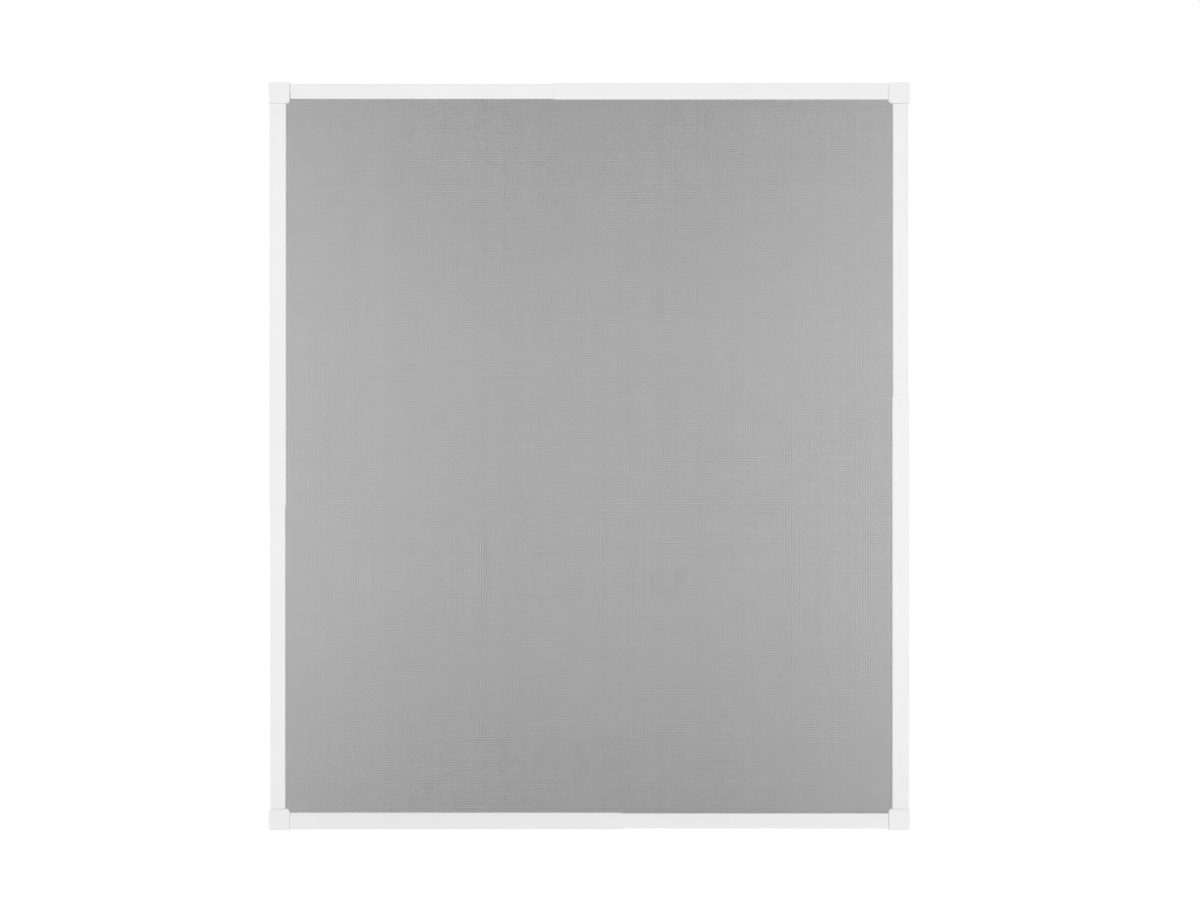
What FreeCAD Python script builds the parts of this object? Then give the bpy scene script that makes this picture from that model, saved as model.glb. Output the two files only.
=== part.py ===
"""Telescopic window screen frame: four corner blocks, nested rails, insect mesh and its spline cords.

Frame: X to the right and Z up as seen from the room side, Y towards the window. The origin is the
centre of the screen, half way through its depth. Lengths are millimetres.

Each side of the frame is an outer rail that starts at one corner block and an inner rail that slides
out of it and ends at the next block. The four sides follow each other like a pinwheel, so one side and
its first corner, turned by quarter turns, give all four.
"""
import FreeCAD, Part
import os
import Sketcher

DIMENSIONS = {
    # Overall size, over the corner blocks
    "frame_width": 1200,
    "frame_height": 1400,
    # Corner blocks: side, step outside the outer rail, step in front of it and behind it, and roundings
    "corner_size": 39,
    "corner_proud": 1.5,
    "corner_cover": 1,
    "corner_inner_round": 6,
    "corner_outer_round": 2,
    "corner_edge_round": 0.8,
    # Tongues of the corner blocks, inside the rails
    "tongue_length": 45,
    "tongue_clearance": 0.1,
    "tongue_wall": 2,
    "tongue_lead": 1.2,
    # Rails: section of the outer rail, and the play of the inner rail inside it
    "rail_width": 30.4,
    "rail_depth": 10.4,
    "rail_wall": 1,
    "rail_round": 1.2,
    "slide_clearance": 0.2,
    "rail_overlap": 120,
    # Exposed length of each outer rail, from its corner block to the step
    "outer_top": 627,
    "outer_right": 774,
    "outer_bottom": 622,
    "outer_left": 755,
    # Gap between a corner block and a rail end, and the one joint that stands open
    "seam": 0.3,
    "open_seam": 1,
    # Spline groove in the back of the rails
    "groove_width": 4,
    "groove_depth": 4.6,
    "groove_inset": 8.4,
    "spline_round": 1.2,
    "spline_sunk": 0.2,
    # Mesh: sheet, edge tucked into the groove, and its distance from the corner blocks
    "mesh_thickness": 0.4,
    "mesh_tuck": 3.6,
    "weave_margin": 1,
    # Gaps of the mesh, drawn coarse, with the ridges of weft and warp in the bands between them
    "gap_size": 66,
    "gap_pitch": 113,
    "weave_pitch": 9,
    "weave_ridge": 2.2,
    "weave_height": 0.4,
}
RIDGES_PER_BAND = 5

# Places in a side's section: y from the front face of the corner blocks, z from their outer edge
FRONT = "dims.corner_cover"
BACK = "(dims.corner_cover + dims.rail_depth)"
OUTER = "dims.corner_proud"
INNER = "(dims.corner_proud + dims.rail_width)"
GROOVE_CENTRE = f"({INNER} - dims.groove_inset)"
GROOVE_OUTER = f"({GROOVE_CENTRE} - dims.groove_width / 2)"
GROOVE_INNER = f"({GROOVE_CENTRE} + dims.groove_width / 2)"
GROOVE_FLOOR = f"({BACK} - dims.groove_depth)"
WHOLE_DEPTH = "(dims.rail_depth + 2 * dims.corner_cover)"

# The inner rail is the outer rail's section moved in by one wall and the play
NESTING = "(dims.rail_wall + dims.slide_clearance)"
OUTER_TONGUE = "(dims.rail_wall + dims.tongue_clearance)"
INNER_TONGUE = f"({NESTING} + dims.rail_wall + dims.tongue_clearance)"

# Edge lines of the mesh, from the outer edge of the corner blocks, beside an outer and an inner rail
MESH_AT_OUTER = f"({GROOVE_INNER} - dims.mesh_thickness)"
MESH_AT_INNER = f"({GROOVE_INNER} + {NESTING} - dims.mesh_thickness)"

# The gaps of the mesh start this far from the outer edge of the corner blocks
GAP_START = "(dims.corner_size + dims.weave_margin)"

# Each side starts at the corner block named here and runs counter-clockwise, seen from the room
LEFT_EDGE = "-dims.frame_width / 2"
RIGHT_EDGE = "dims.frame_width / 2"
LOWER_EDGE = "-dims.frame_height / 2"
UPPER_EDGE = "dims.frame_height / 2"
SIDES = {
    "bottom": {"corner": "bottom_left", "x": LEFT_EDGE, "z": LOWER_EDGE, "turn": 0,
               "span": "dims.frame_width", "far_seam": "dims.seam"},
    "left": {"corner": "top_left", "x": LEFT_EDGE, "z": UPPER_EDGE, "turn": 90,
             "span": "dims.frame_height", "far_seam": "dims.seam"},
    "top": {"corner": "top_right", "x": RIGHT_EDGE, "z": UPPER_EDGE, "turn": 180,
            "span": "dims.frame_width", "far_seam": "dims.open_seam"},
    "right": {"corner": "bottom_right", "x": RIGHT_EDGE, "z": LOWER_EDGE, "turn": 270,
              "span": "dims.frame_height", "far_seam": "dims.seam"},
}
TOLERANCE = 1e-4

doc = FreeCAD.newDocument("window_screen_frame")
sub_parts = []


def make_sheet():
    """Driving dimensions, one aliased cell each."""
    sheet = doc.addObject("Spreadsheet::Sheet", "dims")
    for row, (alias, value) in enumerate(DIMENSIONS.items(), start=1):
        sheet.set(f"A{row}", alias.replace("_", " "))
        sheet.set(f"B{row}", str(value))
        sheet.setAlias(f"B{row}", alias)
    doc.recompute()


def step_at(side):
    """Distance along a side from its first corner to the end of its outer rail."""
    return f"(dims.corner_size + dims.outer_{side})"


def add_body(label, x, z, turn):
    body = doc.addObject("PartDesign::Body", label)
    body.Label = label
    body.Placement.Rotation = FreeCAD.Rotation(FreeCAD.Vector(0, 1, 0), turn)
    body.setExpression("Placement.Base.x", x)
    body.setExpression("Placement.Base.y", f"-{WHOLE_DEPTH} / 2")
    body.setExpression("Placement.Base.z", z)
    sub_parts.append(body)
    return body


def add_sketch(body, name, plane, offset, *outlines):
    """Sketch of closed outlines, lists of (across, up) expressions, at an offset from an origin plane."""
    sketch = body.newObject("Sketcher::SketchObject", name)
    origin_plane = next(item for item in body.Origin.OriginFeatures if item.Role == plane)
    sketch.AttachmentSupport = (origin_plane, [""])
    sketch.MapMode = "FlatFace"
    sketch.setExpression("AttachmentOffset.Base.z", offset)
    for outline in outlines:
        first = sketch.GeometryCount
        count = len(outline)
        # Lines start as a loose ring; the two distances of each corner then place it
        ring = [FreeCAD.Vector(count - abs(count / 2 - corner), corner + 1, 0) for corner in range(count)]
        for corner in range(count):
            sketch.addGeometry(Part.LineSegment(ring[corner], ring[(corner + 1) % count]), False)
        for corner in range(count):
            here = first + corner
            following = first + (corner + 1) % count
            sketch.addConstraint(Sketcher.Constraint("Coincident", here, 2, following, 1))
        for corner, (across, up) in enumerate(outline):
            places = (("DistanceX", ring[corner].x, across), ("DistanceY", ring[corner].y, up))
            for kind, start, place in places:
                index = sketch.addConstraint(Sketcher.Constraint(kind, -1, 1, first + corner, 1, start))
                sketch.setExpression(f"Constraints[{index}]", place)
    doc.recompute()
    return sketch


def add_extrusion(kind, body, name, sketch, length, backwards=False):
    """Pad or Pocket of a sketch, bound to a length."""
    feature = body.newObject(f"PartDesign::{kind}", name)
    feature.Profile = sketch
    feature.Reversed = backwards
    feature.setExpression("Length", length)
    sketch.Visibility = False
    doc.recompute()
    return feature


def round_edges(kind, body, name, size, chosen):
    """Fillet or Chamfer on the edges of the body's tip that a test picks."""
    base = body.Tip
    picked = [f"Edge{index}" for index, edge in enumerate(base.Shape.Edges, start=1) if chosen(edge)]
    feature = body.newObject(f"PartDesign::{kind}", name)
    feature.Base = (base, picked)
    feature.setExpression("Radius" if kind == "Fillet" else "Size", size)
    doc.recompute()
    return feature


def near(value, target):
    return abs(value - target) < TOLERANCE


def lies_at(edge, **planes):
    """True where an edge lies in each of the given planes, such as X=0 and Z=39."""
    box = edge.BoundBox
    return all(near(getattr(box, f"{axis}Min"), at) and near(getattr(box, f"{axis}Max"), at)
               for axis, at in planes.items())


def rectangle(low_across, low_up, high_across, high_up):
    return [(low_across, low_up), (high_across, low_up), (high_across, high_up), (low_across, high_up)]


def rail_outline(inset):
    """Rail section with its spline groove, as (y, z), moved inwards by an inset."""
    front = f"{FRONT} + {inset}"
    back = f"{BACK} - {inset}"
    outer = f"{OUTER} + {inset}"
    inner = f"{INNER} - {inset}"
    floor = f"{GROOVE_FLOOR} - {inset}"
    groove_outer = f"{GROOVE_OUTER} - {inset}"
    groove_inner = f"{GROOVE_INNER} + {inset}"
    return [(front, outer), (front, inner), (back, inner), (back, groove_inner),
            (floor, groove_inner), (floor, groove_outer), (back, groove_outer), (back, outer)]


def make_rail(label, side, inset, start, length):
    """One hollow rail: section padded along its side, with its four long outer edges rounded."""
    place = SIDES[side]
    body = add_body(label, place["x"], place["z"], place["turn"])
    section = add_sketch(body, f"{label}_section", "YZ_Plane", start,
                         rail_outline(inset), rail_outline(f"({inset} + dims.rail_wall)"))
    add_extrusion("Pad", body, f"{label}_tube", section, length)
    box = body.Tip.Shape.BoundBox

    def long_corner(edge):
        return any(lies_at(edge, Y=y, Z=z) for y in (box.YMin, box.YMax) for z in (box.ZMin, box.ZMax))

    round_edges("Fillet", body, f"{label}_edges", "dims.rail_round", long_corner)


def make_spline(label, side, inset, start, length):
    """One spline cord, which fills its groove beside the tucked edge of the mesh."""
    place = SIDES[side]
    body = add_body(label, place["x"], place["z"], place["turn"])
    section = rectangle(f"{GROOVE_FLOOR} - {inset}",
                        f"{GROOVE_OUTER} - {inset}",
                        f"{BACK} - {inset} - dims.spline_sunk",
                        f"{GROOVE_INNER} + {inset} - dims.mesh_thickness")
    sketch = add_sketch(body, f"{label}_section", "YZ_Plane", start, section)
    add_extrusion("Pad", body, f"{label}_cord", sketch, length)
    box = body.Tip.Shape.BoundBox

    def long_edge(edge):
        return near(edge.BoundBox.XLength, box.XLength)

    round_edges("Fillet", body, f"{label}_edges", "dims.spline_round", long_edge)


def make_side(side):
    """The two nested rails of one side and the spline cord of each."""
    span = SIDES[side]["span"]
    step = step_at(side)
    rail_start = "dims.corner_size + dims.seam"
    make_rail(f"outer_rail_{side}", side, "0", rail_start, f"{step} - ({rail_start})")
    inner_start = f"{step} - dims.rail_overlap"
    inner_end = f"{span} - dims.corner_size - {SIDES[side]['far_seam']}"
    make_rail(f"inner_rail_{side}", side, NESTING, inner_start, f"{inner_end} - ({inner_start})")
    cord_start = f"{GROOVE_OUTER} - {NESTING}"
    make_spline(f"outer_spline_{side}", side, "0", cord_start, f"{step} - ({cord_start})")
    inner_cord_start = f"{step} + dims.seam + dims.mesh_thickness"
    inner_cord_end = f"{span} - {MESH_AT_OUTER}"
    make_spline(f"inner_spline_{side}", side, NESTING, inner_cord_start,
                f"{inner_cord_end} - ({inner_cord_start})")


def make_corner(side):
    """One moulded corner block: the block, its two tongues, and the groove and seat for the mesh."""
    place = SIDES[side]
    label = f"corner_{place['corner']}"
    body = add_body(label, place["x"], place["z"], place["turn"])
    size = "dims.corner_size"

    block = add_sketch(body, f"{label}_plan", "XZ_Plane", "0", rectangle("0", "0", size, size))
    add_extrusion("Pad", body, f"{label}_block", block, WHOLE_DEPTH, backwards=True)
    box = body.Tip.Shape.BoundBox
    round_edges("Fillet", body, f"{label}_inner_round", "dims.corner_inner_round",
                lambda edge: lies_at(edge, X=box.XMax, Z=box.ZMax))
    round_edges("Fillet", body, f"{label}_outer_round", "dims.corner_outer_round",
                lambda edge: lies_at(edge, X=box.XMin, Z=box.ZMin))
    round_edges("Fillet", body, f"{label}_front_edge", "dims.corner_edge_round",
                lambda edge: lies_at(edge, Y=box.YMin))

    # Seat for the mesh: the inner part of the back face drops to the level of the outer rails
    seat_edge = f"{GROOVE_OUTER} - {NESTING} - dims.rail_wall"
    seat = add_sketch(body, f"{label}_seat_plan", "XZ_Plane", f"-{BACK}",
                      rectangle(seat_edge, seat_edge, size, size))
    add_extrusion("Pocket", body, f"{label}_seat", seat, "dims.corner_cover", backwards=False)

    # The groove turns the corner: the outer rail's width along X, the inner rail's along Z
    turn_start = f"{GROOVE_OUTER} - {NESTING}"
    outer_leg = add_sketch(body, f"{label}_outer_leg", "XZ_Plane", f"-{BACK}",
                           rectangle(turn_start, GROOVE_OUTER, size, GROOVE_INNER))
    add_extrusion("Pocket", body, f"{label}_outer_groove", outer_leg, "dims.groove_depth", backwards=True)
    inner_leg = add_sketch(body, f"{label}_inner_leg", "XZ_Plane", f"-{BACK}",
                           rectangle(turn_start, GROOVE_OUTER, f"{GROOVE_INNER} + {NESTING}", size))
    add_extrusion("Pocket", body, f"{label}_inner_groove", inner_leg,
                  f"dims.groove_depth + {NESTING}", backwards=True)

    # Tongues, cored from behind so that the moulding keeps one wall
    for leg, plane, inset in (("outer", "YZ_Plane", OUTER_TONGUE), ("inner", "XY_Plane", INNER_TONGUE)):
        low_depth = f"{FRONT} + {inset}"
        high_depth = f"{BACK} - {inset}"
        low_side = f"{OUTER} + {inset}"
        high_side = f"{GROOVE_OUTER} - {inset}"
        core_start = f"{size} + dims.tongue_wall"
        core_end = f"{size} + dims.tongue_length - dims.tongue_wall"
        core_low = f"{low_side} + dims.tongue_wall"
        core_high = f"{high_side} - dims.tongue_wall"
        if leg == "outer":
            section = rectangle(low_depth, low_side, high_depth, high_side)
            core = rectangle(core_start, core_low, core_end, core_high)
        else:
            section = rectangle(low_side, low_depth, high_side, high_depth)
            core = rectangle(core_low, core_start, core_high, core_end)
        tongue = add_sketch(body, f"{label}_{leg}_tongue_section", plane, size, section)
        add_extrusion("Pad", body, f"{label}_{leg}_tongue", tongue, "dims.tongue_length")
        core_plan = add_sketch(body, f"{label}_{leg}_core_plan", "XZ_Plane", f"-({high_depth})", core)
        add_extrusion("Pocket", body, f"{label}_{leg}_core", core_plan,
                      f"{high_depth} - ({low_depth}) - dims.tongue_wall", backwards=True)
    tip = body.Tip.Shape.BoundBox
    round_edges("Chamfer", body, f"{label}_lead", "dims.tongue_lead",
                lambda edge: lies_at(edge, X=tip.XMax) or lies_at(edge, Z=tip.ZMax))


def mesh_outline(inset):
    """Edge of the mesh sheet, as (x, z) from the lower left corner, with a jog at each rail step."""
    at_outer = f"({MESH_AT_OUTER} + {inset})"
    at_inner = f"({MESH_AT_INNER} + {inset})"
    jog = {side: f"({step_at(side)} + dims.seam + dims.mesh_thickness - {inset})" for side in SIDES}
    width = "dims.frame_width"
    height = "dims.frame_height"
    return [
        (at_inner, at_outer), (jog["bottom"], at_outer),
        (jog["bottom"], at_inner), (f"{width} - {at_outer}", at_inner),
        (f"{width} - {at_outer}", jog["right"]), (f"{width} - {at_inner}", jog["right"]),
        (f"{width} - {at_inner}", f"{height} - {at_outer}"),
        (f"{width} - {jog['top']}", f"{height} - {at_outer}"),
        (f"{width} - {jog['top']}", f"{height} - {at_inner}"), (at_outer, f"{height} - {at_inner}"),
        (at_outer, f"{height} - {jog['left']}"), (at_inner, f"{height} - {jog['left']}"),
    ]


def gap_run(span):
    """Distance from the first gap of the mesh to the last, along a side of the frame."""
    return f"({span} - 2 * {GAP_START} - dims.gap_size)"


def band_count(span):
    """Number of bands of weave that part the gaps along a side."""
    return f"floor({gap_run(span)} / dims.gap_pitch)"


def band_spacing(span):
    return f"({gap_run(span)} / {band_count(span)})"


def add_pattern(body, name, feature, sketch, *directions):
    """Copies of a feature along one or two axes of its sketch, each given as (axis, run, count)."""
    pattern = body.newObject("PartDesign::LinearPattern", name)
    pattern.Originals = [feature]
    for suffix, (axis, run, count) in zip(("", "2"), directions):
        setattr(pattern, f"Direction{suffix}", (sketch, [axis]))
        pattern.setExpression(f"Length{suffix}", run)
        pattern.setExpression(f"Occurrences{suffix}", count)
    body.Tip = pattern
    doc.recompute()


def band_ridges(span, start, end, upright):
    """Outlines of the ridges in the first band between gaps, from start to end along it."""
    centre = f"({GAP_START} + (dims.gap_size + {band_spacing(span)}) / 2)"
    outlines = []
    for ridge in range(RIDGES_PER_BAND):
        from_centre = ridge - (RIDGES_PER_BAND - 1) / 2
        low = f"({centre} + ({from_centre}) * dims.weave_pitch - dims.weave_ridge / 2)"
        high = f"({low} + dims.weave_ridge)"
        outlines.append(rectangle(low, start, high, end) if upright else rectangle(start, low, end, high))
    return outlines


def make_mesh():
    """One insect mesh: a thin web with a grid of gaps, its tucked edge, and ridges of weft and warp."""
    width = "dims.frame_width"
    height = "dims.frame_height"
    body = add_body("insect_mesh", LEFT_EDGE, LOWER_EDGE, 0)
    web = add_sketch(body, "mesh_web_plan", "XZ_Plane", f"-{BACK}", mesh_outline("0"))
    add_extrusion("Pad", body, "mesh_web", web, "dims.mesh_thickness", backwards=True)
    hem = add_sketch(body, "mesh_hem_plan", "XZ_Plane", f"-{BACK}",
                     mesh_outline("0"), mesh_outline("dims.mesh_thickness"))
    add_extrusion("Pad", body, "mesh_hem", hem, "dims.mesh_tuck")

    gap_end = f"{GAP_START} + dims.gap_size"
    gap_plan = add_sketch(body, "mesh_gap_plan", "XZ_Plane", f"-{BACK}",
                          rectangle(GAP_START, GAP_START, gap_end, gap_end))
    gap = add_extrusion("Pocket", body, "mesh_gap", gap_plan, "dims.mesh_thickness")
    add_pattern(body, "mesh_gaps", gap, gap_plan, ("H_Axis", gap_run(width), f"{band_count(width)} + 1"),
                ("V_Axis", gap_run(height), f"{band_count(height)} + 1"))

    # The weft lies in front and stays inside the corner blocks; the warp lies behind and reaches the hem
    warp_start = f"({MESH_AT_INNER} + dims.weave_margin)"
    for name, span, across, axis, level, start in (
        ("weft", height, width, "V_Axis", BACK, GAP_START),
        ("warp", width, height, "H_Axis", f"({BACK} + dims.mesh_thickness)", warp_start),
    ):
        behind = name == "warp"
        plan = add_sketch(body, f"mesh_{name}_plan", "XZ_Plane", f"-{level}",
                          *band_ridges(span, start, f"{across} - {start}", upright=behind))
        ridges = add_extrusion("Pad", body, f"mesh_{name}_ridges", plan, "dims.weave_height",
                               backwards=behind)
        add_pattern(body, f"mesh_{name}", ridges, plan,
                    (axis, f"{gap_run(span)} - {band_spacing(span)}", band_count(span)))


def check_document():
    for item in doc.Objects:
        if "Invalid" in item.State or "Error" in item.State:
            raise RuntimeError(f"{item.Label} did not build: {item.State}")
    for body in sub_parts:
        if body.Shape.isNull() or not body.Shape.isValid():
            raise RuntimeError(f"{body.Label} has no valid shape")


def write_parts():
    os.makedirs("parts", exist_ok=True)
    for body in sub_parts:
        body.Shape.exportStep(f"parts/{body.Label}.step")
        print(f"{body.Label}: {body.Shape.Volume / 1000:.1f} cm3, {len(body.Shape.Solids)} solid")


make_sheet()
for side_name in SIDES:
    make_corner(side_name)
    make_side(side_name)
make_mesh()
doc.recompute()
check_document()
write_parts()
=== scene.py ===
# %% [markdown]
# # A telescopic window screen
# The solids of this screen already have their size and place: four corner blocks, eight nested rails, eight
# spline cords and one insect mesh. Blender adds what an eye sees on them. The rails and blocks keep their
# solids and get a finish, because their forms are right. The mesh and the cords are thin and soft, so they
# are built again here as yarns and ribbed cords, each in the place of its solid.

# %% Load the solids as a fixed frame
import math

import bpy
import numpy as np
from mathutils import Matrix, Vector


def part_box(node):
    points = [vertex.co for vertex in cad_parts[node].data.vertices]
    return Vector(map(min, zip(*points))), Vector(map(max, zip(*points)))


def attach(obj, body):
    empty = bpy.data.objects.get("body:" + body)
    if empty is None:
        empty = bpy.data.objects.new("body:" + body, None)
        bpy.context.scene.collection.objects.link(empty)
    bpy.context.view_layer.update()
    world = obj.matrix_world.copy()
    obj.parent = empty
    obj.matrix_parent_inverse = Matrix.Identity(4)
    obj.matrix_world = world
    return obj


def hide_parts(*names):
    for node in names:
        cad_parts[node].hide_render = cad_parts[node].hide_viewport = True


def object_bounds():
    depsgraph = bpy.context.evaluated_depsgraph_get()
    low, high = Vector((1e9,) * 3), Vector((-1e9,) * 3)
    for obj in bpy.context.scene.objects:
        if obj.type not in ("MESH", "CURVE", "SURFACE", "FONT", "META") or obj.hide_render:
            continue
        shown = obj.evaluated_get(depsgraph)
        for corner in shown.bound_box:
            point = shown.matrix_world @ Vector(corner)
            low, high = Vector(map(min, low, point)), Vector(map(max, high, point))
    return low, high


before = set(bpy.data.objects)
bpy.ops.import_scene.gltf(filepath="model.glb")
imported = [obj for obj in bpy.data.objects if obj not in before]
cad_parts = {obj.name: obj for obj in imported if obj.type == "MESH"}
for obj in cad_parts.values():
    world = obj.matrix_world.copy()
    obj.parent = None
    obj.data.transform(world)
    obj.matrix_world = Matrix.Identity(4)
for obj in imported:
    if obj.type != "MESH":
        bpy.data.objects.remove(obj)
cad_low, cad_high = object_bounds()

MM = 0.001
scene = bpy.context.scene
print(f"{len(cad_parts)} solids in a box of {[round(side, 4) for side in cad_high - cad_low]} m")

# %% [markdown]
# ## The camera
# The photograph looks straight at the room side of the screen, and its edges show almost no perspective. A
# camera could be moved by eye until the picture fits. Here its place is worked out instead, from how many
# pixels wide the screen is and where its centre lies, so it stays right if the screen's size changes.

# %% Camera
PHOTO_SIZE_PX = (1200, 900)
SCREEN_WIDTH_PX = 640.8
SCREEN_CENTRE_PX = (589.2, 456.2)
LENS_MM = 85
SENSOR_MM = 36

metres_per_pixel = (cad_high.x - cad_low.x) / SCREEN_WIDTH_PX
camera_distance = metres_per_pixel * PHOTO_SIZE_PX[0] * LENS_MM / SENSOR_MM
camera = bpy.data.objects.new("camera", bpy.data.cameras.new("camera"))
camera.data.lens = LENS_MM
camera.data.sensor_width = SENSOR_MM
camera.location = (
    (PHOTO_SIZE_PX[0] / 2 - SCREEN_CENTRE_PX[0]) * metres_per_pixel,
    cad_low.y - camera_distance,
    (SCREEN_CENTRE_PX[1] - PHOTO_SIZE_PX[1] / 2) * metres_per_pixel,
)
camera.rotation_euler = (math.radians(90), 0, 0)
scene.collection.objects.link(camera)
scene.camera = camera
print(f"camera {camera_distance:.2f} m in front of the screen")

# %% [markdown]
# ## Colours and nodes
# Colours are written as sRGB hex values, as a paint chart gives them, but a shader works in linear light. One
# function converts them. A second one adds a node with its settings and links, so that a material below
# reads from its pattern to its shader. Pattern sizes are real sizes in millimetres.

# %% Helpers for materials
def linear_colour(hex_text):
    """Linear colour with full opacity from an sRGB hex value such as #EEEEEC."""
    channels = [int(hex_text[start:start + 2], 16) / 255 for start in (1, 3, 5)]
    linear = [c / 12.92 if c <= 0.04045 else ((c + 0.055) / 1.055) ** 2.4 for c in channels]
    return (*linear, 1)


def waves_per_metre(size_mm):
    """Texture scale at which one wave of a pattern has this size."""
    return 1 / (size_mm * MM)


def add_node(tree, kind, inputs=None, **settings):
    """A node with its settings, whose inputs take values or other nodes' outputs."""
    node = tree.nodes.new(kind)
    for name, value in settings.items():
        setattr(node, name, value)
    for socket, value in (inputs or {}).items():
        if isinstance(value, bpy.types.NodeSocket):
            tree.links.new(value, node.inputs[socket])
        else:
            node.inputs[socket].default_value = value
    return node


def new_material(name):
    """An empty material and its node tree."""
    material = bpy.data.materials.new(name)
    material.use_nodes = True
    material.node_tree.nodes.clear()
    return material, material.node_tree


# The colour sockets of a Mix node share their names with its other sockets, so they go by number
MIX_FACTOR, MIX_FIRST, MIX_SECOND = 0, 6, 7
MIX_RESULT = 2
print("sRGB mid grey in linear light:", round(linear_colour("#808080")[0], 3))

# %% [markdown]
# ## Rails: powder-coated aluminium
# A rail is a thin aluminium section, sprayed with white powder and baked. The coat hides the metal, so the
# shader isn't metallic: it is an even, matt white with a soft highlight, and the melted powder leaves a faint
# orange peel. One flat white would look like paper, so slow noise moves the tone and the roughness a little,
# and finer noise gives the peel as bump. Where surfaces meet, a darker white is painted in as shade, at
# places the Ambient Occlusion node finds from the geometry alone.

# %% Material: powder-coated aluminium
COAT_WHITE = "#F1F1F1"
COAT_GREYER = "#EDEDED"
# Painted shade: the coat is painted this darker white where surfaces meet and close it in
COAT_PAINTED_SHADE = "#E0E0DF"
COAT_ROUGHNESS = (0.44, 0.56)
COAT_IOR = 1.5
COAT_CLOUD_MM = 240
# The real peel is about 1.5 mm wide; it is drawn wider, so that it shows from a few steps away
PEEL_MM = 4
PEEL_HEIGHT_MM = 0.02
# How far the Ambient Occlusion node looks for nearby surfaces, which sets the width of the painted shade at
# joints
PAINTED_SHADE_REACH_MM = 2.5
PAINTED_SHADE_SAMPLES = 8


def powder_coated_aluminium():
    material, tree = new_material("powder_coated_aluminium_matt_white")
    place = add_node(tree, "ShaderNodeTexCoord").outputs["Object"]
    cloud = add_node(tree, "ShaderNodeTexNoise",
                     {"Vector": place, "Scale": waves_per_metre(COAT_CLOUD_MM), "Detail": 3})
    peel = add_node(tree, "ShaderNodeTexNoise",
                    {"Vector": place, "Scale": waves_per_metre(PEEL_MM), "Detail": 2})
    tone = add_node(tree, "ShaderNodeMix",
                    {MIX_FACTOR: cloud.outputs["Fac"], MIX_FIRST: linear_colour(COAT_WHITE),
                     MIX_SECOND: linear_colour(COAT_GREYER)}, data_type="RGBA")
    # Painted shade: the colour darkens where the Ambient Occlusion node finds surfaces meeting
    open_share = add_node(tree, "ShaderNodeAmbientOcclusion", {"Distance": PAINTED_SHADE_REACH_MM * MM},
                          samples=PAINTED_SHADE_SAMPLES)
    painted_shade_tone = add_node(tree, "ShaderNodeMix",
                      {MIX_FACTOR: open_share.outputs["AO"], MIX_FIRST: linear_colour(COAT_PAINTED_SHADE),
                       MIX_SECOND: tone.outputs[MIX_RESULT]}, data_type="RGBA")
    roughness = add_node(tree, "ShaderNodeMapRange",
                         {"Value": cloud.outputs["Fac"], "To Min": COAT_ROUGHNESS[0],
                          "To Max": COAT_ROUGHNESS[1]})
    relief = add_node(tree, "ShaderNodeBump",
                      {"Height": peel.outputs["Fac"], "Strength": 1, "Distance": PEEL_HEIGHT_MM * MM})
    shader = add_node(tree, "ShaderNodeBsdfPrincipled",
                      {"Base Color": painted_shade_tone.outputs[MIX_RESULT], "Roughness": roughness.outputs["Result"],
                       "Normal": relief.outputs["Normal"], "IOR": COAT_IOR, "Metallic": 0})
    add_node(tree, "ShaderNodeOutputMaterial", {"Surface": shader.outputs["BSDF"]})
    return material


coat = powder_coated_aluminium()
rails = [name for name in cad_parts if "_rail_" in name]
for name in rails:
    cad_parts[name].material_slots[0].material = coat
print(len(rails), "rails take", coat.name)

# %% [markdown]
# ## Corner blocks: moulded ABS
# The blocks are injection-moulded ABS in the same white. The mould was spark-eroded, which leaves a fine,
# even grain and a slightly glossier skin than the powder coat, and the plastic flows into long, soft clouds.
# A Voronoi pattern gives the small round pits of that grain better than noise does.

# %% Material: moulded ABS
ABS_WHITE = "#F0F0F0"
ABS_GREYER = "#EDEDED"
# Painted shade: the blocks are painted this darker white where surfaces meet and close them in
ABS_PAINTED_SHADE = "#E0E0DF"
ABS_ROUGHNESS = (0.36, 0.46)
ABS_IOR = 1.53
ABS_FLOW_MM = 30
# The real grain is about 0.2 mm; it is drawn wider, so that it shows close by
GRAIN_MM = 0.9
GRAIN_HEIGHT_MM = 0.012


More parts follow.
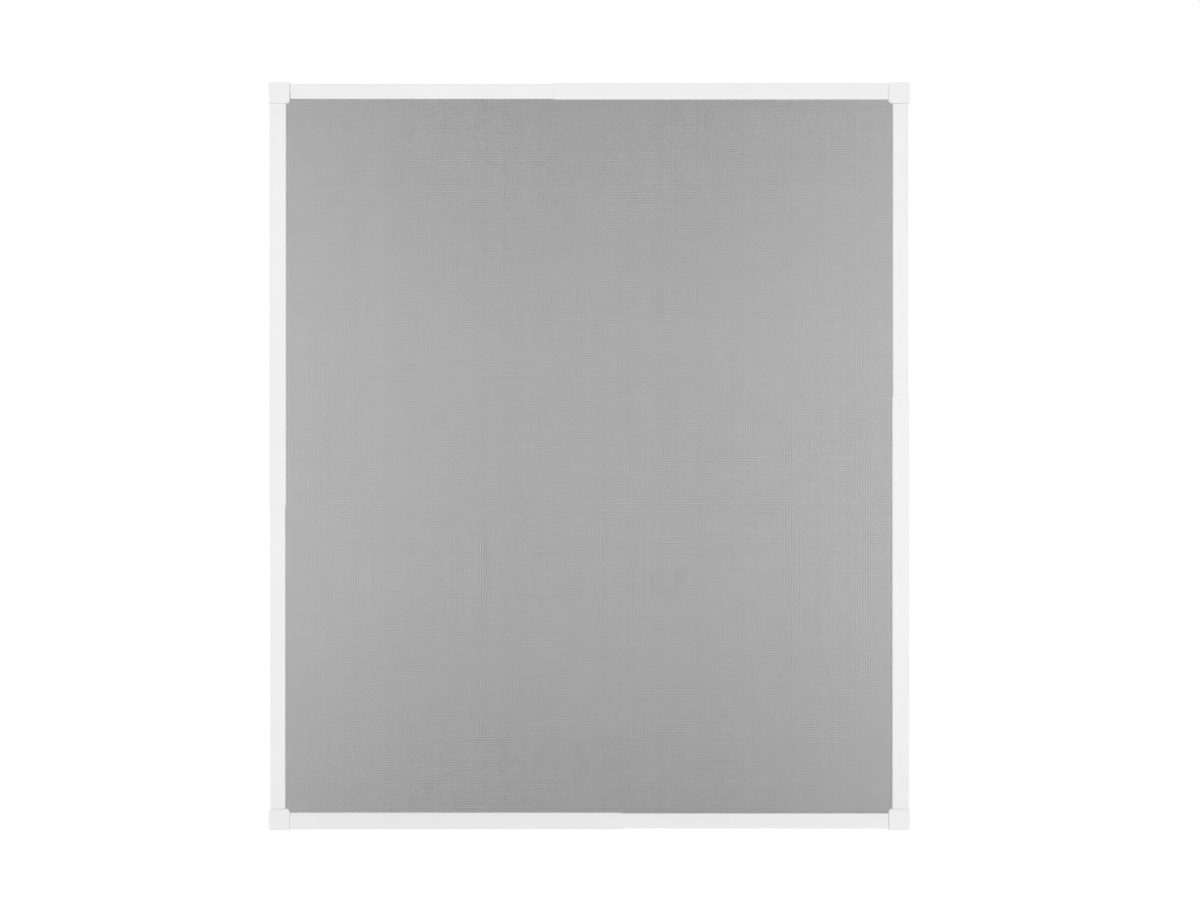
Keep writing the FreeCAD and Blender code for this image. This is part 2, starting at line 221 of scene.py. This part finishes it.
def moulded_abs():
    material, tree = new_material("moulded_abs_spark_grain_white")
    place = add_node(tree, "ShaderNodeTexCoord").outputs["Object"]
    flow = add_node(tree, "ShaderNodeTexNoise",
                    {"Vector": place, "Scale": waves_per_metre(ABS_FLOW_MM), "Detail": 2, "Distortion": 1.5})
    grain = add_node(tree, "ShaderNodeTexVoronoi",
                     {"Vector": place, "Scale": waves_per_metre(GRAIN_MM)}, feature="SMOOTH_F1")
    tone = add_node(tree, "ShaderNodeMix",
                    {MIX_FACTOR: flow.outputs["Fac"], MIX_FIRST: linear_colour(ABS_WHITE),
                     MIX_SECOND: linear_colour(ABS_GREYER)}, data_type="RGBA")
    # Painted shade: the colour darkens where the Ambient Occlusion node finds surfaces meeting
    open_share = add_node(tree, "ShaderNodeAmbientOcclusion", {"Distance": PAINTED_SHADE_REACH_MM * MM},
                          samples=PAINTED_SHADE_SAMPLES)
    painted_shade_tone = add_node(tree, "ShaderNodeMix",
                      {MIX_FACTOR: open_share.outputs["AO"], MIX_FIRST: linear_colour(ABS_PAINTED_SHADE),
                       MIX_SECOND: tone.outputs[MIX_RESULT]}, data_type="RGBA")
    roughness = add_node(tree, "ShaderNodeMapRange",
                         {"Value": flow.outputs["Fac"], "To Min": ABS_ROUGHNESS[0],
                          "To Max": ABS_ROUGHNESS[1]})
    relief = add_node(tree, "ShaderNodeBump",
                      {"Height": grain.outputs["Distance"], "Strength": 1, "Distance": GRAIN_HEIGHT_MM * MM})
    shader = add_node(tree, "ShaderNodeBsdfPrincipled",
                      {"Base Color": painted_shade_tone.outputs[MIX_RESULT], "Roughness": roughness.outputs["Result"],
                       "Normal": relief.outputs["Normal"], "IOR": ABS_IOR, "Metallic": 0})
    add_node(tree, "ShaderNodeOutputMaterial", {"Surface": shader.outputs["BSDF"]})
    return material


abs_white = moulded_abs()
corners = [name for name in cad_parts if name.startswith("corner_")]
for name in corners:
    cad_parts[name].material_slots[0].material = abs_white
print(len(corners), "corner blocks take", abs_white.name)

# %% [markdown]
# ## Where the mesh lies
# The mesh is stretched over the back of the rails, and its edge turns down into the spline groove. Beside an
# inner rail the groove lies a little further in, so the edge has a jog at each step. The places can be read
# from the solids: the tucked edge lies between a cord and the inner wall of its groove.

# %% Plan of the mesh, read from the solids
# Thickness of the edge that is turned down into the groove
HEM_MM = 0.4

mesh_low, mesh_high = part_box("insect_mesh")
rail_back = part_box("outer_rail_top")[1].y
half_width = mesh_high.x
half_height = mesh_high.z


def turn_lines(side, places):
    """Where yarns at these places along a side turn down into its groove."""
    along, across = (0, 2) if side in ("bottom", "top") else (2, 0)
    inwards = 1 if side in ("bottom", "left") else -1
    lines = {}
    for rail in ("outer", "inner"):
        low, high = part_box(f"{rail}_spline_{side}")
        edge = high[across] if inwards > 0 else low[across]
        lines[rail] = edge + inwards * HEM_MM * MM / 2
    low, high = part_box(f"outer_spline_{side}")
    beside_outer = (places >= low[along]) & (places <= high[along])
    return np.where(beside_outer, lines["outer"], lines["inner"])


print(f"mesh reaches {half_width / MM:.1f} mm and {half_height / MM:.1f} mm from the centre")

# %% [markdown]
# ## Creases in the mesh
# The mesh carries two marks from handling: a U-shaped crease below the middle on the right, and a crescent
# near the bottom. A crease presses the yarns flat along a line and pushes them back a little, so less light
# comes through there. Both lines are arcs of an ellipse, so a centre, two half sizes and two angles give
# each, and a share says how much wider it presses the yarns. A point of a yarn is pressed less the further
# it lies from the nearest point of the line, and less near the two ends of the line.

# %% Creases
CREASES = (
    {"centre_mm": (142.9, -227.2), "half_mm": (25.3, 30), "from_deg": 163, "to_deg": 391, "widening": 0.08},
    {"centre_mm": (-49.1, -580.2), "half_mm": (36.5, 46.8), "from_deg": -57, "to_deg": 67, "widening": 0.05},
)
CREASE_POINTS = 80
CREASE_WIDTH_MM = 4
# Three widths from its line a crease has faded away, and up to there a yarn has stations close together
CREASE_REACH_MM = 3 * CREASE_WIDTH_MM
CREASE_STEP_MM = 4.5
# How far back a yarn goes for each unit of widening
CREASE_PUSH_MM = 7
# The smaller this power, the nearer to its two ends a crease stays full
CREASE_FADE_POWER = 0.2


def crease_line(crease):
    """Points (x, z) along a crease."""
    angles = np.radians(np.linspace(crease["from_deg"], crease["to_deg"], CREASE_POINTS))
    centre = np.array(crease["centre_mm"]) * MM
    half = np.array(crease["half_mm"]) * MM
    return centre + half * np.stack([np.cos(angles), np.sin(angles)], axis=1)


crease_lines = [crease_line(crease) for crease in CREASES]
crease_fade = np.sin(np.linspace(0, math.pi, CREASE_POINTS)).clip(0) ** CREASE_FADE_POWER


def crease_widening(points):
    """By what share the creases widen a yarn at points (x, z)."""
    share = np.zeros(len(points))
    for crease, line in zip(CREASES, crease_lines):
        distance = np.linalg.norm(line[None, :, :] - points[:, None, :], axis=2)
        widths = distance.min(axis=1) / (CREASE_WIDTH_MM * MM)
        share += crease["widening"] * crease_fade[distance.argmin(axis=1)] * np.exp(-widths ** 2 / 2)
    return share


def crease_stations(low, high, place, run_axis):
    """Extra stations, close together, where a yarn at this place passes a crease."""
    reach = CREASE_REACH_MM * MM
    found = []
    for line in crease_lines:
        run, across = line[:, run_axis], line[:, 1 - run_axis]
        if across.min() - reach < place < across.max() + reach:
            start = max(low, run.min() - reach)
            end = min(high, run.max() + reach)
            found.append(np.arange(start, end, CREASE_STEP_MM * MM))
    return np.concatenate(found) if found else np.zeros(0)


crease_lengths = [np.linalg.norm(np.diff(line, axis=0), axis=1).sum() for line in crease_lines]
print("creases of", [round(length / MM) for length in crease_lengths], "mm")

# %% [markdown]
# ## The yarns of the mesh
# This is a fine midge mesh, woven from coated yarns, about 32 to the inch both ways, and the coating is fused
# where they cross. One could draw it as a see-through sheet, but then it would have no thickness, no edge
# and no shadow of its own. Here every yarn is a flat tube of four sides, shaded smooth: the warp runs up and
# down, the weft across in front of it. Each yarn has a few stations along its length, so that it can wander,
# bow and crease as cloth does, and its two ends turn down into the grooves.

# %% Build the yarns
INCH = 25.4 * MM
YARNS_PER_INCH = 32
YARN_PITCH = INCH / YARNS_PER_INCH
# The photographed mesh lets through about two fifths of the light, which sets the width of its yarns
YARN_WIDTH_MM = 0.315
YARN_THICKNESS_MM = 0.2
# As shares of that thickness: the weft lies just clear of the rails, and the warp is fused into the weft
WEFT_BEHIND_RAIL = 0.55
WARP_BEHIND_WEFT = 0.75
# Vertices round a yarn's tube
YARN_RING = 4
# Stretching opens the gaps at the middle of the left and right sides, and closes them above and below
WIDTH_LESS_AT_SIDES = 0.14
WIDTH_MORE_AT_ENDS = 0.13
WIDTH_MORE_BELOW = 0.03
# No two yarns are coated quite alike, which leaves faint streaks in the cloth
YARN_WIDTH_SPREAD = {"warp": 0.04, "weft": 0.02}
# The real weave is too fine to show from a few steps away, so a coarser one is drawn into it: the yarns are
# wider and narrower by turns, over this distance, which shows as a fine grain
WEAVE_MM = 4.8
WEAVE_SWELL = 0.13
# From each of its few stations to the next a yarn wanders sideways by about this much
YARN_SPANS = 3
YARN_STRAY_MM = 0.05
# The whole cloth is bowed too, by up to about this much, but at this share of the half width it lies level
CLOTH_BOW_MM = 1
BOW_LEVEL_AT = 0.4
YARN_SEED = 18

stray = np.random.default_rng(YARN_SEED)
weft_level = rail_back + WEFT_BEHIND_RAIL * YARN_THICKNESS_MM * MM
yarn_level = {"weft": weft_level, "warp": weft_level + WARP_BEHIND_WEFT * YARN_THICKNESS_MM * MM}


def bow_shift(points):
    """Slow in-plane drift of the cloth, which fades out at its edges."""
    x = points[:, 0] / half_width
    z = points[:, 1] / half_height
    middle = (1 - x ** 2).clip(0) * (1 - z ** 2).clip(0)
    return CLOTH_BOW_MM * MM * np.stack([middle * z, middle * (BOW_LEVEL_AT - x)], axis=1)


def yarn_widths(kind, place, points, pressed):
    """Width of a yarn at each of its points, where the creases press it wider by a share."""
    x = points[:, 0] / half_width
    z = points[:, 2] / half_height
    swelling = WIDTH_MORE_AT_ENDS * z ** 2 - WIDTH_MORE_BELOW * z - WIDTH_LESS_AT_SIDES * x ** 2
    swelling[1:-1] += pressed
    swelling += WEAVE_SWELL * math.cos(2 * math.pi * place / (WEAVE_MM * MM))
    swelling += stray.normal(0, YARN_WIDTH_SPREAD[kind])
    return YARN_WIDTH_MM * MM * (1 + swelling)


def yarn_path(kind, place, low, high):
    """Points of one yarn from groove to groove, and its width at each."""
    run_axis = 1 if kind == "warp" else 0
    base = np.linspace(low, high, YARN_SPANS + 1)
    wander = np.cumsum(stray.normal(0, YARN_STRAY_MM * MM, YARN_SPANS + 1))
    across = place + wander - np.linspace(wander[0], wander[-1], YARN_SPANS + 1)
    line = np.stack([across, base] if kind == "warp" else [base, across], axis=1)
    line += bow_shift(line)
    run = np.unique(np.concatenate([base, crease_stations(low, high, place, run_axis)]))
    flat = np.stack([np.interp(run, base, line[:, axis]) for axis in (0, 1)], axis=1)
    widening = crease_widening(flat)
    points = np.stack([flat[:, 0], yarn_level[kind] + CREASE_PUSH_MM * MM * widening, flat[:, 1]], axis=1)
    first_end = points[0].copy()
    last_end = points[-1].copy()
    first_end[1] = last_end[1] = mesh_low.y
    points = np.concatenate([[first_end], points, [last_end]])
    return points, yarn_widths(kind, place, points, widening)


def yarn_tube(kind, points, width):
    """Vertices of a four-sided tube along a yarn, four to a station."""
    steps = np.diff(points, axis=0)
    steps /= np.linalg.norm(steps, axis=1)[:, None]
    along = np.concatenate([[steps[0]], steps[:-1] + steps[1:], [steps[-1]]])
    along /= np.linalg.norm(along, axis=1)[:, None]
    sideways = np.array([1.0, 0, 0] if kind == "warp" else [0, 0, 1.0])
    outwards = np.cross(along, sideways)
    outwards /= np.linalg.norm(outwards, axis=1)[:, None]
    half_side = sideways * width[:, None] / 2
    half_out = outwards * YARN_THICKNESS_MM * MM / 2
    ring = [points + half_side, points + half_out, points - half_side, points - half_out]
    return np.stack(ring, axis=1).reshape(-1, 3)


def tube_faces(first, stations, ring):
    """Quads between the rings of a tube whose vertices start at an index, and its two caps."""
    station, corner = np.meshgrid(np.arange(stations - 1), np.arange(ring), indexing="ij")
    here = first + station * ring + corner
    beside = first + station * ring + (corner + 1) % ring
    quads = np.stack([here, beside, beside + ring, here + ring], axis=2).reshape(-1, 4).tolist()
    last = first + (stations - 1) * ring
    quads.append(list(range(first + ring - 1, first - 1, -1)))
    quads.append(list(range(last, last + ring)))
    return quads


def mesh_object(name, vertices, faces, material):
    """A smooth-shaded mesh object that rides with the frame."""
    mesh = bpy.data.meshes.new(name)
    mesh.from_pydata(vertices.tolist(), [], faces)
    mesh.shade_smooth()
    mesh.materials.append(material)
    piece = bpy.data.objects.new(name, mesh)
    scene.collection.objects.link(piece)
    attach(piece, "root")
    return piece


def woven_mesh(material):
    """Every warp and weft yarn in one mesh."""
    vertices, faces, count = [], [], 0
    yarn_sets = (("warp", half_width, ("bottom", "top")), ("weft", half_height, ("left", "right")))
    for kind, reach, sides in yarn_sets:
        inside = reach - YARN_PITCH
        number = round(2 * inside / YARN_PITCH) + 1
        places = np.linspace(-inside, inside, number)
        lows, highs = (turn_lines(side, places) for side in sides)
        for place, low, high in zip(places, lows, highs):
            points, width = yarn_path(kind, place, low, high)
            vertices.append(yarn_tube(kind, points, width))
            faces.extend(tube_faces(count, len(points), YARN_RING))
            count += YARN_RING * len(points)
        print(number, kind, "yarns")
    return mesh_object("insect_mesh_cloth", np.concatenate(vertices), faces, material)


# %% [markdown]
# ## Mesh: coated glass fibre
# The yarn is a strand of glass fibres in a charcoal vinyl coat, fused by heat. It looks dark and dull, with
# a weak, broad highlight on the rounded coat. Its many gaps let the bright room through, so from a few steps
# away the dark yarns read as a mid grey with a fine grain. Slow noise makes some stretches dustier, and the
# strand's twist shows as a fine ripple in the coat, which is drawn as bump.

# %% Material: vinyl-coated glass fibre
YARN_CHARCOAL = "#303030"
YARN_DUSTY = "#3D3D3D"
YARN_ROUGHNESS = 0.55
YARN_IOR = 1.54
YARN_STREAK_MM = 45
# The real twist is about 0.3 mm; it is drawn longer, so that it shows close by
TWIST_MM = 1.2
TWIST_HEIGHT_MM = 0.03


def vinyl_coated_glass_fibre():
    material, tree = new_material("vinyl_coated_glass_fibre_charcoal")
    place = add_node(tree, "ShaderNodeTexCoord").outputs["Object"]
    streak = add_node(tree, "ShaderNodeTexNoise",
                      {"Vector": place, "Scale": waves_per_metre(YARN_STREAK_MM), "Detail": 4})
    twist = add_node(tree, "ShaderNodeTexNoise",
                     {"Vector": place, "Scale": waves_per_metre(TWIST_MM), "Detail": 1})
    tone = add_node(tree, "ShaderNodeMix",
                    {MIX_FACTOR: streak.outputs["Fac"], MIX_FIRST: linear_colour(YARN_CHARCOAL),
                     MIX_SECOND: linear_colour(YARN_DUSTY)}, data_type="RGBA")
    relief = add_node(tree, "ShaderNodeBump",
                      {"Height": twist.outputs["Fac"], "Strength": 1, "Distance": TWIST_HEIGHT_MM * MM})
    shader = add_node(tree, "ShaderNodeBsdfPrincipled",
                      {"Base Color": tone.outputs[MIX_RESULT], "Roughness": YARN_ROUGHNESS,
                       "Normal": relief.outputs["Normal"], "IOR": YARN_IOR, "Metallic": 0})
    add_node(tree, "ShaderNodeOutputMaterial", {"Surface": shader.outputs["BSDF"]})
    return material


cloth = woven_mesh(vinyl_coated_glass_fibre())
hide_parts("insect_mesh")
print(len(cloth.data.vertices), "vertices in the mesh's yarns")

# %% [markdown]
# ## Spline cords: soft PVC
# A spline is a soft cord that is rolled into the groove and wedges the mesh there. It is ribbed across, so
# that it grips. A swept curve with a round bevel would be too plain, so each cord is a stack of rings: the
# rings alternate between the crest and the root of a rib, and a slow wave sinks the cord a little deeper
# here and there, as the roller leaves it.

# %% Build the spline cords
CORD_RIB_MM = 3
CORD_RING = 16
# A power: 1 leaves the section round, and the nearer to 0, the squarer it gets
CORD_SQUARENESS = 0.55
# Size at the root of a rib, as a share of the size at its crest
CORD_ROOT = 0.88
CORD_SINK_MM = 0.35
CORD_SINK_WAVE_MM = 90
CORD_SEED = 5

roller = np.random.default_rng(CORD_SEED)


def cord_section():
    """Ring of (across, depth) from -1 to 1: a circle pressed towards the square of its groove."""
    angles = np.arange(CORD_RING) * 2 * math.pi / CORD_RING
    round_ring = np.stack([np.cos(angles), np.sin(angles)], axis=1)
    return np.sign(round_ring) * np.abs(round_ring) ** CORD_SQUARENESS


def ribbed_cord(node, material):
    """A cord in the place of its solid, with ribs across it."""
    low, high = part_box(node)
    size = high - low
    run_axis = 0 if size.x > size.z else 2
    across_axis = 2 - run_axis
    stations = 2 * round(size[run_axis] / (CORD_RIB_MM * MM)) + 1
    run = np.linspace(low[run_axis], high[run_axis], stations)
    swell = np.where(np.arange(stations) % 2 == 0, 1, CORD_ROOT)
    # Even the shortest cord has a depth at each of its two ends
    depths = max(2, round(size[run_axis] / (CORD_SINK_WAVE_MM * MM)))
    sink = np.interp(run, np.linspace(run[0], run[-1], depths), roller.uniform(0, CORD_SINK_MM * MM, depths))
    ring = cord_section()[None, :, :] * swell[:, None, None]
    vertices = np.zeros((stations, CORD_RING, 3))
    vertices[:, :, run_axis] = run[:, None]
    vertices[:, :, across_axis] = (low + high)[across_axis] / 2 + ring[:, :, 0] * size[across_axis] / 2
    vertices[:, :, 1] = low.y + (ring[:, :, 1] + 1) / 2 * (size.y - sink)[:, None]
    faces = tube_faces(0, stations, CORD_RING)
    cord = mesh_object(f"{node}_cord", vertices.reshape(-1, 3), faces, material)
    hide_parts(node)
    return cord


# %% [markdown]
# ## Cord: extruded soft PVC
# Soft PVC is extruded through a die and stays slightly waxy: a mid grey with a low, broad shine. Faint
# mottling comes from plasticiser and dust on its skin, and a fine unevenness from the roller. Noise at two
# sizes gives both: the coarser one moves the tone and the roughness, and the finer one is bump.

# %% Material: extruded soft PVC
CORD_GREY = "#77797B"
CORD_PALER = "#8B8C8D"
CORD_ROUGHNESS = (0.42, 0.6)
CORD_IOR = 1.54
CORD_MOTTLE_MM = 6
CORD_SKIN_MM = 0.8
CORD_SKIN_HEIGHT_MM = 0.03


def extruded_soft_pvc():
    material, tree = new_material("extruded_soft_pvc_grey")
    place = add_node(tree, "ShaderNodeTexCoord").outputs["Object"]
    mottle = add_node(tree, "ShaderNodeTexNoise",
                      {"Vector": place, "Scale": waves_per_metre(CORD_MOTTLE_MM), "Detail": 4})
    skin = add_node(tree, "ShaderNodeTexNoise",
                    {"Vector": place, "Scale": waves_per_metre(CORD_SKIN_MM), "Detail": 2})
    tone = add_node(tree, "ShaderNodeMix",
                    {MIX_FACTOR: mottle.outputs["Fac"], MIX_FIRST: linear_colour(CORD_GREY),
                     MIX_SECOND: linear_colour(CORD_PALER)}, data_type="RGBA")
    roughness = add_node(tree, "ShaderNodeMapRange",
                         {"Value": mottle.outputs["Fac"], "To Min": CORD_ROUGHNESS[0],
                          "To Max": CORD_ROUGHNESS[1]})
    relief = add_node(tree, "ShaderNodeBump",
                      {"Height": skin.outputs["Fac"], "Strength": 1, "Distance": CORD_SKIN_HEIGHT_MM * MM})
    shader = add_node(tree, "ShaderNodeBsdfPrincipled",
                      {"Base Color": tone.outputs[MIX_RESULT], "Roughness": roughness.outputs["Result"],
                       "Normal": relief.outputs["Normal"], "IOR": CORD_IOR, "Metallic": 0})
    add_node(tree, "ShaderNodeOutputMaterial", {"Surface": shader.outputs["BSDF"]})
    return material


soft_pvc = extruded_soft_pvc()
cords = [ribbed_cord(name, soft_pvc) for name in sorted(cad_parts) if "_spline_" in name]
print(len(cords), "cords,", sum(len(cord.data.vertices) for cord in cords), "vertices")

# %% [markdown]
# ## Floor and room
# The photograph shows the screen on pure white, so the room is white where the camera looks, and softer where
# it only lights. The Light Path node tells the two apart. Around the screen the floor shows some of its own
# lit paint, so that it keeps the screen's shadow, and further off it fades to the room's white, so that no
# horizon shows.

# %% Floor and room
ROOM_WHITE = "#FFFFFF"
WHITE_STRENGTH = 1.0
ROOM_LIGHT = 0.62
FLOOR_WHITE = "#F8F8F8"
# Beside the screen the camera sees this share of the floor's own lit colour, and the rest as white
FLOOR_LIT_SHARE = 0.2
# There the white is a little stronger, which makes up for the shade of the lit paint
FLOOR_LIFT = 0.1
# Between these distances from the foot of the screen, in metres, both fall to nothing
FLOOR_FADE = (0.01, 0.08)
FLOOR_ROUGHNESS = 0.8
# Side of the floor, in metres
FLOOR_SIZE = 60


def seen_directly(tree):
    """1 for rays from the camera, from a mirror or through glass, and 0 for rays that only light."""
    path = add_node(tree, "ShaderNodeLightPath")
    mirrored = add_node(tree, "ShaderNodeMath", {0: path.outputs["Is Camera Ray"],
                                                 1: path.outputs["Is Glossy Ray"]}, operation="MAXIMUM")
    return add_node(tree, "ShaderNodeMath", {0: mirrored.outputs[0],
                                             1: path.outputs["Is Transmission Ray"]}, operation="MAXIMUM")


room = bpy.data.worlds.new("white_room")
room.use_nodes = True
room.node_tree.nodes.clear()
room_strength = add_node(room.node_tree, "ShaderNodeMapRange",
                         {"Value": seen_directly(room.node_tree).outputs[0], "To Min": ROOM_LIGHT,
                          "To Max": WHITE_STRENGTH})
background = add_node(room.node_tree, "ShaderNodeBackground",
                      {"Color": linear_colour(ROOM_WHITE), "Strength": room_strength.outputs["Result"]})
add_node(room.node_tree, "ShaderNodeOutputWorld", {"Surface": background.outputs["Background"]})
scene.world = room

floor_paint, floor_tree = new_material("painted_studio_floor")
floor_lit = add_node(floor_tree, "ShaderNodeBsdfPrincipled",
                     {"Base Color": linear_colour(FLOOR_WHITE), "Roughness": FLOOR_ROUGHNESS})
floor_place = add_node(floor_tree, "ShaderNodeTexCoord").outputs["Object"]
not_past_high = add_node(floor_tree, "ShaderNodeVectorMath",
                         {0: floor_place, 1: (cad_high.x, cad_high.y, 0)}, operation="MINIMUM")
foot = add_node(floor_tree, "ShaderNodeVectorMath",
                {0: not_past_high.outputs["Vector"], 1: (cad_low.x, cad_low.y, 0)}, operation="MAXIMUM")
from_foot = add_node(floor_tree, "ShaderNodeVectorMath",
                     {0: floor_place, 1: foot.outputs["Vector"]}, operation="DISTANCE")
nearness = add_node(floor_tree, "ShaderNodeMapRange",
                    {"Value": from_foot.outputs["Value"], "From Min": FLOOR_FADE[0],
                     "From Max": FLOOR_FADE[1], "To Min": 1, "To Max": 0}, interpolation_type="SMOOTHSTEP")
glow = add_node(floor_tree, "ShaderNodeMath",
                {0: nearness.outputs["Result"], 1: FLOOR_LIFT, 2: WHITE_STRENGTH}, operation="MULTIPLY_ADD")
floor_white = add_node(floor_tree, "ShaderNodeEmission",
                       {"Color": linear_colour(ROOM_WHITE), "Strength": glow.outputs[0]})
white_here = add_node(floor_tree, "ShaderNodeMath",
                      {0: nearness.outputs["Result"], 1: -FLOOR_LIT_SHARE, 2: 1}, operation="MULTIPLY_ADD")
white_share = add_node(floor_tree, "ShaderNodeMath",
                       {0: seen_directly(floor_tree).outputs[0], 1: white_here.outputs[0]},
                       operation="MULTIPLY")
floor_mix = add_node(floor_tree, "ShaderNodeMixShader",
                     {0: white_share.outputs[0], 1: floor_lit.outputs["BSDF"],
                      2: floor_white.outputs["Emission"]})
add_node(floor_tree, "ShaderNodeOutputMaterial", {"Surface": floor_mix.outputs["Shader"]})

reach = FLOOR_SIZE / 2
floor_mesh = bpy.data.meshes.new("floor")
floor_mesh.from_pydata([(-reach, -reach, 0), (reach, -reach, 0), (reach, reach, 0), (-reach, reach, 0)],
                       [], [(0, 1, 2, 3)])
floor_mesh.materials.append(floor_paint)
floor = bpy.data.objects.new("floor", floor_mesh)
floor.location.z = cad_low.z
scene.collection.objects.link(floor)
print("floor at", round(floor.location.z, 3), "m")

# %% [markdown]
# ## Lamps
# The photograph has the even, soft light of a studio, so two large lamps stand far in front, one to each
# side. One lamp alone would leave one upright rail darker than the other. A small lamp near the floor lifts
# the lower right, and one behind lights the back, which the photograph doesn't show.

# %% Lamps, with places and sizes in metres
LAMPS = {
    "key": {"place": (2.2, -5.4, 0.1), "size": 1.5, "watts": 45},
    "fill": {"place": (-2.4, -5.4, 0.3), "size": 1.5, "watts": 51},
    "low": {"place": (0.45, -2.0, -0.45), "size": 0.4, "watts": 3.2},
    "back": {"place": (-1.6, 5.0, 1.6), "size": 3, "watts": 110},
}
for name, lamp in LAMPS.items():
    light = bpy.data.lights.new(name, "AREA")
    light.size = lamp["size"]
    light.energy = lamp["watts"]
    holder = bpy.data.objects.new(name, light)
    holder.location = lamp["place"]
    holder.rotation_euler = (-Vector(lamp["place"])).to_track_quat("-Z", "Y").to_euler()
    holder.visible_camera = False
    scene.collection.objects.link(holder)
print(len(LAMPS), "lamps,", sum(lamp["watts"] for lamp in LAMPS.values()), "W")

# %% [markdown]
# The Standard view shows each colour about as it is written.

# %% Finish
scene.view_settings.view_transform = "Standard"
